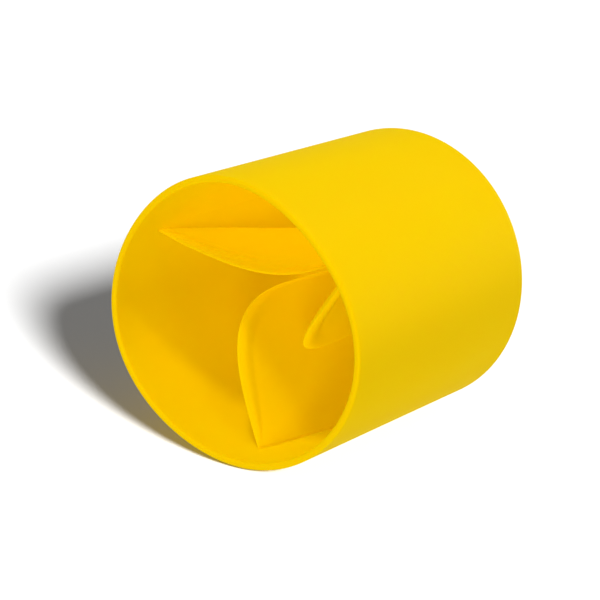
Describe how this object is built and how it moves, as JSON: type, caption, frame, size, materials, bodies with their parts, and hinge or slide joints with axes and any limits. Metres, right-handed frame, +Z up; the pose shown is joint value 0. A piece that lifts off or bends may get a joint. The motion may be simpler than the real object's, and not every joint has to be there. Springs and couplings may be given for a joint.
{
  "type": "sleeve lip grip",
  "caption": "Soft plastic sleeve, open at the mouth and closed at the far end, with curved flexible vanes leaning in from its bore to grip what is pushed in.",
  "frame": {"origin": "on the sleeve's axis, half-way along its length", "axes": "+Y along the sleeve's axis from the mouth to the closed end, +Z up with the sleeve lying on its side, +X to the right when facing the mouth"},
  "size_m": [0.0617, 0.0632, 0.0601],
  "materials": {
    "sleeve_plastic": "satin moulded soft vinyl, saturated yellow",
    "vane_plastic": "satin moulded soft vinyl, saturated yellow, thin enough to let light glow through"
  },
  "bodies": {
    "sleeve": {"sleeve": "sleeve_plastic"},
    "left_vane": {"left_vane": "vane_plastic"},
    "lower_vane": {"lower_vane": "vane_plastic"},
    "right_vane": {"right_vane": "vane_plastic"}
  },
  "joints": [
    {"name": "left_vane_flex", "type": "hinge", "parent": "sleeve", "child": "left_vane", "pos_m": [-0.02588, 0.00285, 0.00882], "axis": [0.0616, -0.9789, 0.1948], "range_deg": [-4, 30]},
    {"name": "lower_vane_flex", "type": "hinge", "parent": "sleeve", "child": "lower_vane", "pos_m": [0.0053, 0.00285, -0.02632], "axis": [-0.1995, -0.9795, -0.0262], "range_deg": [-4, 30]},
    {"name": "right_vane_flex", "type": "hinge", "parent": "sleeve", "child": "right_vane", "pos_m": [0.02012, 0.00285, 0.01772], "axis": [0.123, -0.9796, -0.1588], "range_deg": [-4, 30]}
  ]
}
